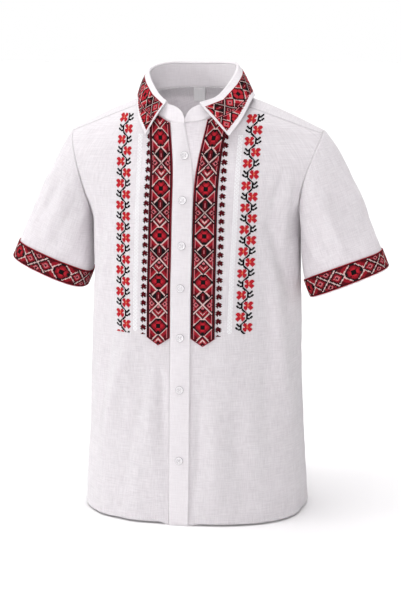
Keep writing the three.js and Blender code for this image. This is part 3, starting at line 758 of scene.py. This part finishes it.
# Columns of motifs on the fronts: chart, size of a stitch, x at the two heights below, z at foot and
# head, and whether every second repeat is mirrored.
MOTIF_HEIGHTS = (320, 660)
MOTIFS = {
    "vine_left": (FLOWERS, 1.46, -98, -106, 318, 672, True),
    "vine_right": (FLOWERS, 1.46, 101, 107.5, 321, 672, True),
    "stars_left": (STARS, 1.49, -63, -60, 317, 642, False),
    "stars_right": (STARS, 1.49, 61.5, 64.5, 317, 642, False),
    "whitework_left": (WHITEWORK, 1.45, -77, -77, 322, 640, False),
    "whitework_right": (WHITEWORK, 1.45, 79, 88, 322, 640, False),
}
for name, (chart, size, x_low, x_high, z_foot, z_head, turning) in MOTIFS.items():
    node = "front_" + name.split("_")[1]
    tree = tree_of(node)
    columns, repeat = len(chart[0]), len(chart)
    rows = round((z_head - z_foot) / size)

    def motif_place(u, v):
        z = z_foot + (z_head - z_foot) * v
        share = (z - MOTIF_HEIGHTS[0]) / (MOTIF_HEIGHTS[1] - MOTIF_HEIGHTS[0])
        middle = x_low + (x_high - x_low) * share
        return front_hit(tree, middle + (u - 0.5) * columns * size, z)

    def motif_thread(column, row):
        down = rows - 1 - row
        line = chart[down % repeat]
        if turning and (down // repeat) % 2:
            line = line[::-1]
        return None if line[column] == "." else line[column]

    panel(node, "stitches_" + name, columns, rows, motif_place, motif_thread)


def band_edges(node, side):
    """The two edges of a sleeve band's outer wall, as rings of points ordered by angle."""
    bm = solid_of(node)
    head, foot = (Vector(p) * MM for p in SLEEVE_AXIS[side])
    axis = (foot - head).normalized()

    def faces_out(face):
        arm = face.calc_center_median() - head
        return face.normal.dot((arm - axis * arm.dot(axis)).normalized()) > 0.6

    outer = {face for face in bm.faces if faces_out(face)}
    edges = {edge for face in outer for edge in face.edges if not outer.issuperset(edge.link_faces)}
    rim = {vert for edge in edges for vert in edge.verts}
    points = np.array([vert.co[:] for vert in rim]) / MM
    bm.free()
    share, angle, _ = sleeve_place(side, points)
    order = np.argsort(angle)
    points, share, angle = points[order], share[order], angle[order]
    near = np.abs((angle[:, None] - angle + 180) % 360 - 180) < 25  # degrees
    lower = share > np.array([np.median(share[row]) for row in near])
    return (angle[lower], points[lower]), (angle[~lower], points[~lower])


def ring_point(ring, at):
    """The point of a ring at an angle in degrees."""
    angles, points = ring
    wrapped = np.concatenate([angles[-1:] - 360, angles, angles[:1] + 360])
    around = np.concatenate([points[-1:], points, points[:1]])
    return np.array([np.interp(at % 360, wrapped, around[:, i]) for i in range(3)])


SLEEVE_REPEAT = 88  # from one rosette of a sleeve band to the next
SLEEVE_START = {LEFT: 79, RIGHT: 29.5}  # from the seam inside the arm to a rosette
SLEEVE_ROWS = 21


def sleeve_colour(a, b):
    """Thread of a sleeve band at a stitches from its middle and b along it from a rosette."""
    if a > 8:
        return "kb"[a - 9]
    return band_colour(a * 1.12, b, upper=jewel, lower=jewel)


for word, side in SIDES.items():
    node = "sleeve_band_" + word
    foot_ring, head_ring = band_edges(node, side)
    angles = np.linspace(-180, 180, 361)
    around = np.array([ring_point(foot_ring, a) for a in angles])
    lengths = np.concatenate([[0], np.cumsum(np.linalg.norm(np.diff(around, axis=0), axis=1))])
    columns = round(lengths[-1] / STITCH)
    tree = tree_of(node)

    def place_on_sleeve(u, v):
        at = np.interp(u * lengths[-1], lengths, angles)
        foot, head = ring_point(foot_ring, at), ring_point(head_ring, at)
        near, normal, _, _ = tree.find_nearest(Vector(foot + (head - foot) * v) * MM)
        return near + normal * (STITCH_LIFT * MM)

    def sleeve_thread(column, row):
        turns = ((column + 0.5) / columns * lengths[-1] - SLEEVE_START[side]) / SLEEVE_REPEAT
        return sleeve_colour(abs(row - SLEEVE_ROWS // 2), (turns - round(turns)) * BAND_REPEAT)

    def from_axis(point):
        return Vector(sleeve_place(side, np.array([point[:]]) / MM)[2][0])

    name = "sleeve_stitches_" + word
    panel(node, name, columns, SLEEVE_ROWS, place_on_sleeve, sleeve_thread, from_axis)

# The collar has one panel over the whole leaf, inside a border of plain linen.
leaf_tree = tree_of("collar_leaf")
COLLAR_ROWS = 44
COLLAR_COLUMNS = 300
COLLAR_FOLD_BORDER = (5.2, 8.8)  # plain linen at the fold, at the left and the right end
COLLAR_EDGE_BORDER = (4.2, 6.6)
COLLAR_ENDS = (0.005, 0.995)  # shares of the way round it between which there are stitches
COLLAR_BAND = 22  # rows of stitches in each of its two bands of pattern
COLLAR_SHIFT = (9, 3)  # columns and rows by which the pattern is shifted
COLLAR_SLOPE = 0.7  # how much its cloth faces up, for as much as it faces out
COLLAR_CAST = (0.03, 0.045)  # metres: cloth is looked for from this far off, and over this length
COLLAR_SWAPS = {"b": "r"}  # the collar is a brighter red than the front bands


def between(pair, share):
    return pair[0] + (pair[1] - pair[0]) * share


def collar_station(share):
    """The points of the leaf's fold and of its free edge at a share of the way round."""
    at = share * (len(COLLAR_FOLD) - 1)
    index = min(int(at), len(COLLAR_FOLD) - 2)
    lines = (np.array(line[index : index + 2]) for line in (COLLAR_FOLD, COLLAR_EDGE))
    return [between(line, at - index) for line in lines]


def collar_place(u, v):
    fold, edge = collar_station(between(COLLAR_ENDS, u))
    depth = np.linalg.norm(edge - fold)
    down = between(COLLAR_FOLD_BORDER, u) + v * COLLAR_ROWS * STITCH
    point = Vector(fold + (edge - fold) * (down / depth)) * MM
    out = (out_of_neck(point).normalized() + Vector((0, 0, COLLAR_SLOPE))).normalized()
    off, length = COLLAR_CAST
    near, normal, _, _ = leaf_tree.ray_cast(point + out * off, -out, length)
    return None if near is None else near + normal * (STITCH_LIFT * MM)


def collar_thread(column, row):
    share = between(COLLAR_ENDS, (column + 0.5) / COLLAR_COLUMNS)
    fold, edge = collar_station(share)
    border = between(COLLAR_FOLD_BORDER, share) + between(COLLAR_EDGE_BORDER, share)
    last = (np.linalg.norm(edge - fold) - border) / STITCH - 1
    if row > last:
        return None
    if row < 1 or row > last - 1 or column in (0, COLLAR_COLUMNS - 1):
        return "b"
    band, a = divmod(row + COLLAR_SHIFT[1], COLLAR_BAND)
    turns = (column + COLLAR_SHIFT[0]) / BAND_REPEAT + band / 2
    found = band_colour(abs(a - COLLAR_BAND / 2), (turns - round(turns)) * BAND_REPEAT, upper=jewel)
    return COLLAR_SWAPS.get(found, found)


panel(
    "collar_leaf", "collar_stitches", COLLAR_COLUMNS, COLLAR_ROWS, collar_place, collar_thread, out_of_neck
)

# ---- buttons ----
BUTTON_PROFILE = (
    (0, 0), (5.4, 0), (6.7, 0.9), (6.7, 1.6), (6.4, 2.15), (5.9, 2.4), (5.2, 2.35), (4.7, 2), (4.2, 1.45),
    (3.2, 1.25), (0, 1.2),
)
BUTTON_SPIN = 36
HOLE_RADIUS = 0.85
HOLE_OFFSET = 1.55
HOLE_SIDES = (-HOLE_OFFSET, HOLE_OFFSET)
THREAD_RADIUS = 0.32
THREAD_LENGTH = 2 * HOLE_OFFSET + 0.5
THREAD_HEIGHT = 1.25
# Painted shade on the buttons: a ring round the dish (radius, width, depth of shade), the outer edge and
# the holes.
DISH_SHADE_RING = (4.5, 0.6, 0.45)
EDGE_SHADE = (5.9, 6.5, 1.6)
HOLE_SHADE = (HOLE_RADIUS + 0.1, 1.6)


def add_rod(bm, radius, length, sides, place):
    bmesh.ops.create_cone(
        bm, cap_ends=True, segments=sides, radius1=radius * MM, radius2=radius * MM, depth=length * MM,
        matrix=place,
    )


def turned_button():
    """One button at the origin, its back on z = 0: the profile spun, and four holes cut through it."""
    bm = bmesh.new()
    corners = [bm.verts.new(Vector((radius, 0, height)) * MM) for radius, height in BUTTON_PROFILE]
    edges = [bm.edges.new(pair) for pair in zip(corners, corners[1:])]
    bmesh.ops.spin(
        bm, geom=corners + edges, cent=(0, 0, 0), axis=(0, 0, 1), angle=2 * math.pi, steps=BUTTON_SPIN,
        use_merge=True,
    )
    bmesh.ops.remove_doubles(bm, verts=bm.verts, dist=0.01 * MM)
    bmesh.ops.recalc_face_normals(bm, faces=bm.faces)
    whole = put("whole", to_mesh("whole", bm))
    bm = bmesh.new()
    for x in HOLE_SIDES:
        for y in HOLE_SIDES:
            add_rod(bm, HOLE_RADIUS, 8, 12, Matrix.Translation(Vector((x, y, 0)) * MM))
    pins = put("pins", to_mesh("pins", bm))
    cut = whole.modifiers.new("holes", "BOOLEAN")
    cut.operation, cut.object, cut.solver = "DIFFERENCE", pins, "EXACT"
    made = finished(whole)
    bpy.data.objects.remove(pins)
    return made


def button_painted_shade(points):
    """How deep the painted shade of the button at the origin is at its points: in a ring round the dish,
    on its outer edge and in its holes.
    """
    x, y, _ = points.T
    radius = np.hypot(x, y)
    middle, width, depth = DISH_SHADE_RING
    start, end, most = EDGE_SHADE
    reach, dark = HOLE_SHADE
    tone = depth * np.exp(-(((radius - middle) / width) ** 2)) + most * ramp(start, end, radius)
    return tone + dark * (np.hypot(np.abs(x) - HOLE_OFFSET, np.abs(y) - HOLE_OFFSET) < reach)


def place_of_button(node):
    """Where a CAD button's back is, as a matrix with z out of the shirt."""
    points = points_of(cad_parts[node].data)
    middle = points.mean(axis=0)
    normal = np.linalg.svd(points - middle)[2][2]
    normal *= -np.sign(normal[1])
    back = middle + normal * ((points - middle) @ normal).min()
    out = Vector(normal)
    across = Vector((0, 0, 1)).cross(out).normalized()
    place = Matrix((across, out.cross(across), out)).transposed().to_4x4()
    place.translation = Vector(back) * MM
    return place


button_mesh = turned_button()
points = points_of(button_mesh)
# the weave map's u carries each button's painted shade to the pearl finish
lay_weave(button_mesh, button_painted_shade(points), points[:, 2] * MM)
loops = bmesh.new()
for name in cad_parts:
    if name.startswith("button_") and name != "button_band":
        place = place_of_button(name)
        mesh = button_mesh.copy()
        mesh.transform(place)
        made = piece(name + "_turned", mesh, [FINISHES["pearl"]])
        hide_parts(name)
        for y in HOLE_SIDES:
            spot = Matrix.Translation(Vector((0, y, THREAD_HEIGHT)) * MM)
            lying = Matrix.Rotation(math.pi / 2, 4, "Y")
            add_rod(loops, THREAD_RADIUS, THREAD_LENGTH, 8, place @ spot @ lying)
name = "button_threads"
stitched["button_band"].append(piece(name, to_mesh(name, loops), [THREADS["w"]]))

# ---- label ----
LABEL_SIZE = (20, 23)
LABEL_PLACE = (-6.1, 54.6, 711)  # the middle of its upper edge
LABEL_WALL = 0.6
LABEL_LEAN = 0.5  # its foot stands off by this much
LABEL_WAVE = (0.25, 7)  # height of the wave at its foot, and radians across its width


def label():
    """A blank tape that hangs from the seam under the stand, its foot standing off a little."""
    rise, turn = LABEL_WAVE
    bm = bmesh.new()
    bmesh.ops.create_grid(bm, x_segments=10, y_segments=12, size=0.5)
    for vert in bm.verts:
        across, down = vert.co.x, 0.5 - vert.co.y
        x = LABEL_PLACE[0] + across * LABEL_SIZE[0]
        y = LABEL_PLACE[1] - LABEL_LEAN * down * down + rise * math.sin(across * turn) * down
        vert.co = Vector((x, y, LABEL_PLACE[2] - down * LABEL_SIZE[1])) * MM
    bmesh.ops.recalc_face_normals(bm, faces=bm.faces)
    bmesh.ops.solidify(bm, geom=bm.faces, thickness=LABEL_WALL * MM)
    mesh = to_mesh("neck_label", bm)
    x, y, z = points_of(mesh).T
    lay_weave(mesh, x * MM, z * MM)
    sew("neck_label", mesh, "tape")


label()


# ---- sewing ----
def line_of_stitches(bm, node, inset, wanted, outward=out_of_body):
    """Sewing stitches at the inset from those edges of a piece's outer wall that are wanted."""
    tree = tree_of(node)
    solid = solid_of(node)
    size = Matrix.Diagonal((*(part / 2 * MM for part in SEAM_STITCH), 1))
    for edge in solid.edges:
        if edge.calc_face_angle(0) < RIM_ANGLE or edge.calc_length() < WALL_WIDTH * MM:
            continue
        walls = [face for face in edge.link_faces if not is_rim(face)]
        start, end = (vert.co for vert in edge.verts)
        middle = (start + end) / 2
        if len(walls) != 1 or walls[0].normal.dot(outward(middle)) < 0 or not wanted(middle / MM):
            continue
        along = (end - start).normalized()
        inwards = walls[0].calc_center_median() - middle
        inwards = (inwards - along * inwards.dot(along)).normalized() * (inset * MM)
        count = max(1, round(edge.calc_length() / (SEAM_PITCH * MM)))
        for i in range(count):
            spot = start.lerp(end, (i + 0.5) / count) + inwards
            near, normal, _, _ = tree.find_nearest(spot)
            level = (along - normal * along.dot(normal)).normalized()
            place = Matrix((level, normal.cross(level), normal)).transposed().to_4x4()
            place.translation = near + normal * (SEAM_STITCH_LIFT * MM)
            bmesh.ops.create_icosphere(bm, subdivisions=1, radius=1, matrix=place @ size)
    solid.free()


def sewing(node, *lines):
    """All the sewing on one piece; a line is an inset, the edges wanted and the way out."""
    bm = bmesh.new()
    for line in lines:
        line_of_stitches(bm, node, *line)
    name = node + "_seams"
    stitched[node].append(piece(name, to_mesh(name, bm), [THREADS["w"]]))


# Which edges of the solids are sewn, by their middles in millimetres.
def at_hem(point):
    return point.z < 1


def at_armhole(point):
    return 500 < point.z < 638 and abs(point.x) > 172


def along_button_band(point):
    return 2 < point.z < 650


def off_neck_seam(point):
    return math.hypot(point.x + 3, point.y + 2) > 104


def at_free_edge(point):
    return point.z < 706 and math.hypot(point.x - NECK_MIDDLE[0], point.y - NECK_MIDDLE[1]) > 66


for node in ("back", "front_left", "front_right"):
    sewing(node, (HEM_LINE, at_hem), (EDGE_LINE, at_armhole))
sewing("yoke", (EDGE_LINE, off_neck_seam))
sewing("button_band", (EDGE_LINE, along_button_band))
sewing("collar_leaf", (COLLAR_LINE, at_free_edge, out_of_neck))

# ---- what the cloth was cut from ----
# Piece: width and length of the cut in metres, its area, how it is held, and what holds it.
SHEETS = {
    "front_left": ((0.27, 0.7), 0.16, "hung", ["yoke_cloth"]),
    "front_right": ((0.3, 0.7), 0.178, "hung", ["yoke_cloth"]),
    "back": ((0.5, 0.645), 0.305, "hung", ["yoke_cloth"]),
    "yoke": ((0.43, 0.15), 0.052, "stretched", ["collar_stand_cloth", "back_cloth"]),
    "sleeve_left": ((0.41, 0.25), 0.072, "hung", ["yoke_cloth", "front_left_cloth", "back_cloth"]),
    "sleeve_right": ((0.41, 0.25), 0.074, "hung", ["yoke_cloth", "front_right_cloth", "back_cloth"]),
    "sleeve_band_left": ((0.415, 0.03), None, "laid", ["sleeve_left_cloth"]),
    "sleeve_band_right": ((0.415, 0.03), None, "laid", ["sleeve_right_cloth"]),
    "front_band_left": ((0.039, 0.385), None, "laid", ["front_left_cloth"]),
    "front_band_right": ((0.039, 0.385), None, "laid", ["front_right_cloth"]),
    "button_band": ((0.032, 0.665), None, "laid", ["front_right_cloth", "front_left_cloth"]),
    "collar_stand": ((0.43, 0.038), 0.0145, "stretched", ["yoke_cloth"]),
    "collar_leaf": ((0.46, 0.075), 0.0265, "folded", ["collar_stand_cloth"]),
    "neck_label": ((0.02, 0.023), None, "hung", ["collar_stand_cloth"]),
}
for node, (flat, area, held, rests_on) in SHEETS.items():
    stitched[node]


# ---- floor, light and camera ----
FLOOR_HALF = 40
FLOOR_GLOW = 0.04  # keeps the pale floor even
# Where a light comes from, its strength, its width in degrees and its colour.
LAMPS = {
    "key": ((-1, -0.42, 0.17), 0.78, 14, (1, 1, 1)),
    "front": ((0.08, -1, 0.1), 0.89, 16, (1, 0.97, 0.99)),
    "top": ((-0.1, -0.04, 1), 2.75, 62, (1, 1, 1)),
}
# A small soft light for what thin cloth lets into the hollow of the collar: place, watts, radius.
INSIDE_LAMP = ((-0.003, -0.045, 0.6), 0.12, 0.04)
ROOM_COLOUR, ROOM_STRENGTH = (1, 0.94, 0.985, 1), 0.28
BACKDROP = (1, 1, 1, 1)
CAMERA_PLACE = (0.5197, -2.4351, 0.80)
CAMERA_TARGET = (0.0048, 0.0113, 0.352)
CAMERA_LENS = 89.0


def floor():
    bm = bmesh.new()
    bmesh.ops.create_grid(bm, x_segments=8, y_segments=8, size=FLOOR_HALF)
    thing = put("floor", to_mesh("floor", bm))
    paper = Finish("paper", (0.95, 0.95, 0.95), 0.8)
    tooth = paper.cloud(paper.object_point(3, 3, 3), detail=3)
    paper.give("Roughness", 0.7 + tooth * 0.2)
    paper.give("Emission Color", (1, 1, 1, 1))
    paper.give("Emission Strength", FLOOR_GLOW)
    thing.data.materials.append(paper.material)


def lamp(name, direction, strength, width, colour):
    """A wide soft light that shines from a direction, as from a large softbox far away."""
    light = bpy.data.lights.new(name, "SUN")
    light.angle, light.energy, light.color = math.radians(width), strength, colour
    put(name, light).rotation_euler = Vector(direction).to_track_quat("Z", "Y").to_euler()


floor()
for name, values in LAMPS.items():
    lamp(name, *values)

inside = bpy.data.lights.new("inside", "POINT")
place, inside.energy, inside.shadow_soft_size = INSIDE_LAMP
put("inside", inside).location = place

# The room lights the shirt, and the camera sees a plain white behind it.
world = bpy.data.worlds.new("studio")
bpy.context.scene.world = world
world.use_nodes = True
nodes, links = world.node_tree.nodes, world.node_tree.links
room = nodes["Background"]
room.inputs["Color"].default_value = ROOM_COLOUR
room.inputs["Strength"].default_value = ROOM_STRENGTH
plain = nodes.new("ShaderNodeBackground")
plain.inputs["Color"].default_value = BACKDROP
seen = nodes.new("ShaderNodeLightPath")
choice = nodes.new("ShaderNodeMixShader")
links.new(seen.outputs["Is Camera Ray"], choice.inputs[0])
links.new(room.outputs[0], choice.inputs[1])
links.new(plain.outputs[0], choice.inputs[2])
links.new(choice.outputs[0], nodes["World Output"].inputs["Surface"])

bpy.context.scene.view_settings.view_transform = "Standard"

camera = put("camera", bpy.data.cameras.new("camera"))
camera.location = CAMERA_PLACE
view = Vector(CAMERA_TARGET) - camera.location
camera.rotation_euler = view.to_track_quat("-Z", "Y").to_euler()
camera.data.lens, camera.data.sensor_width = CAMERA_LENS, 36
bpy.context.scene.camera = camera
